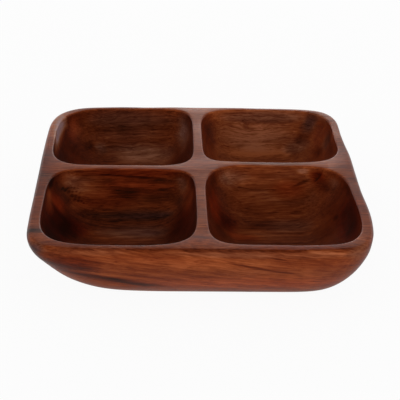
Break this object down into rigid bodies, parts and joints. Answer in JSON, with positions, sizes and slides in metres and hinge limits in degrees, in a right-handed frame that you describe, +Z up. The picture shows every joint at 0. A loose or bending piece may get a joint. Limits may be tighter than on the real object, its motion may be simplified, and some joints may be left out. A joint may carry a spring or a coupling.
{
  "type": "divided serving bowl",
  "caption": "Square, shallow serving bowl of dark hardwood with rounded corners, divided by a cross of ridges into pockets for snacks or dips; edge-glued from staves.",
  "frame": {"origin": "middle of the bowl's outline in plan, on the table that it stands on", "axes": "+X to the right along the grain, +Y to the back, +Z up out of the pockets"},
  "size_m": [0.3, 0.3, 0.06],
  "materials": {
    "wood_light": "satin oil over open pores",
    "wood_mid": "satin oil over open pores",
    "wood_dark": "satin oil over open pores"
  },
  "bodies": {
    "root": {"stave_1_front": "wood_light", "stave_2": "wood_mid", "stave_3": "wood_mid", "stave_4": "wood_dark", "stave_5": "wood_mid", "stave_6": "wood_light", "stave_7": "wood_mid", "stave_8_back": "wood_dark"}
  },
  "joints": []
}
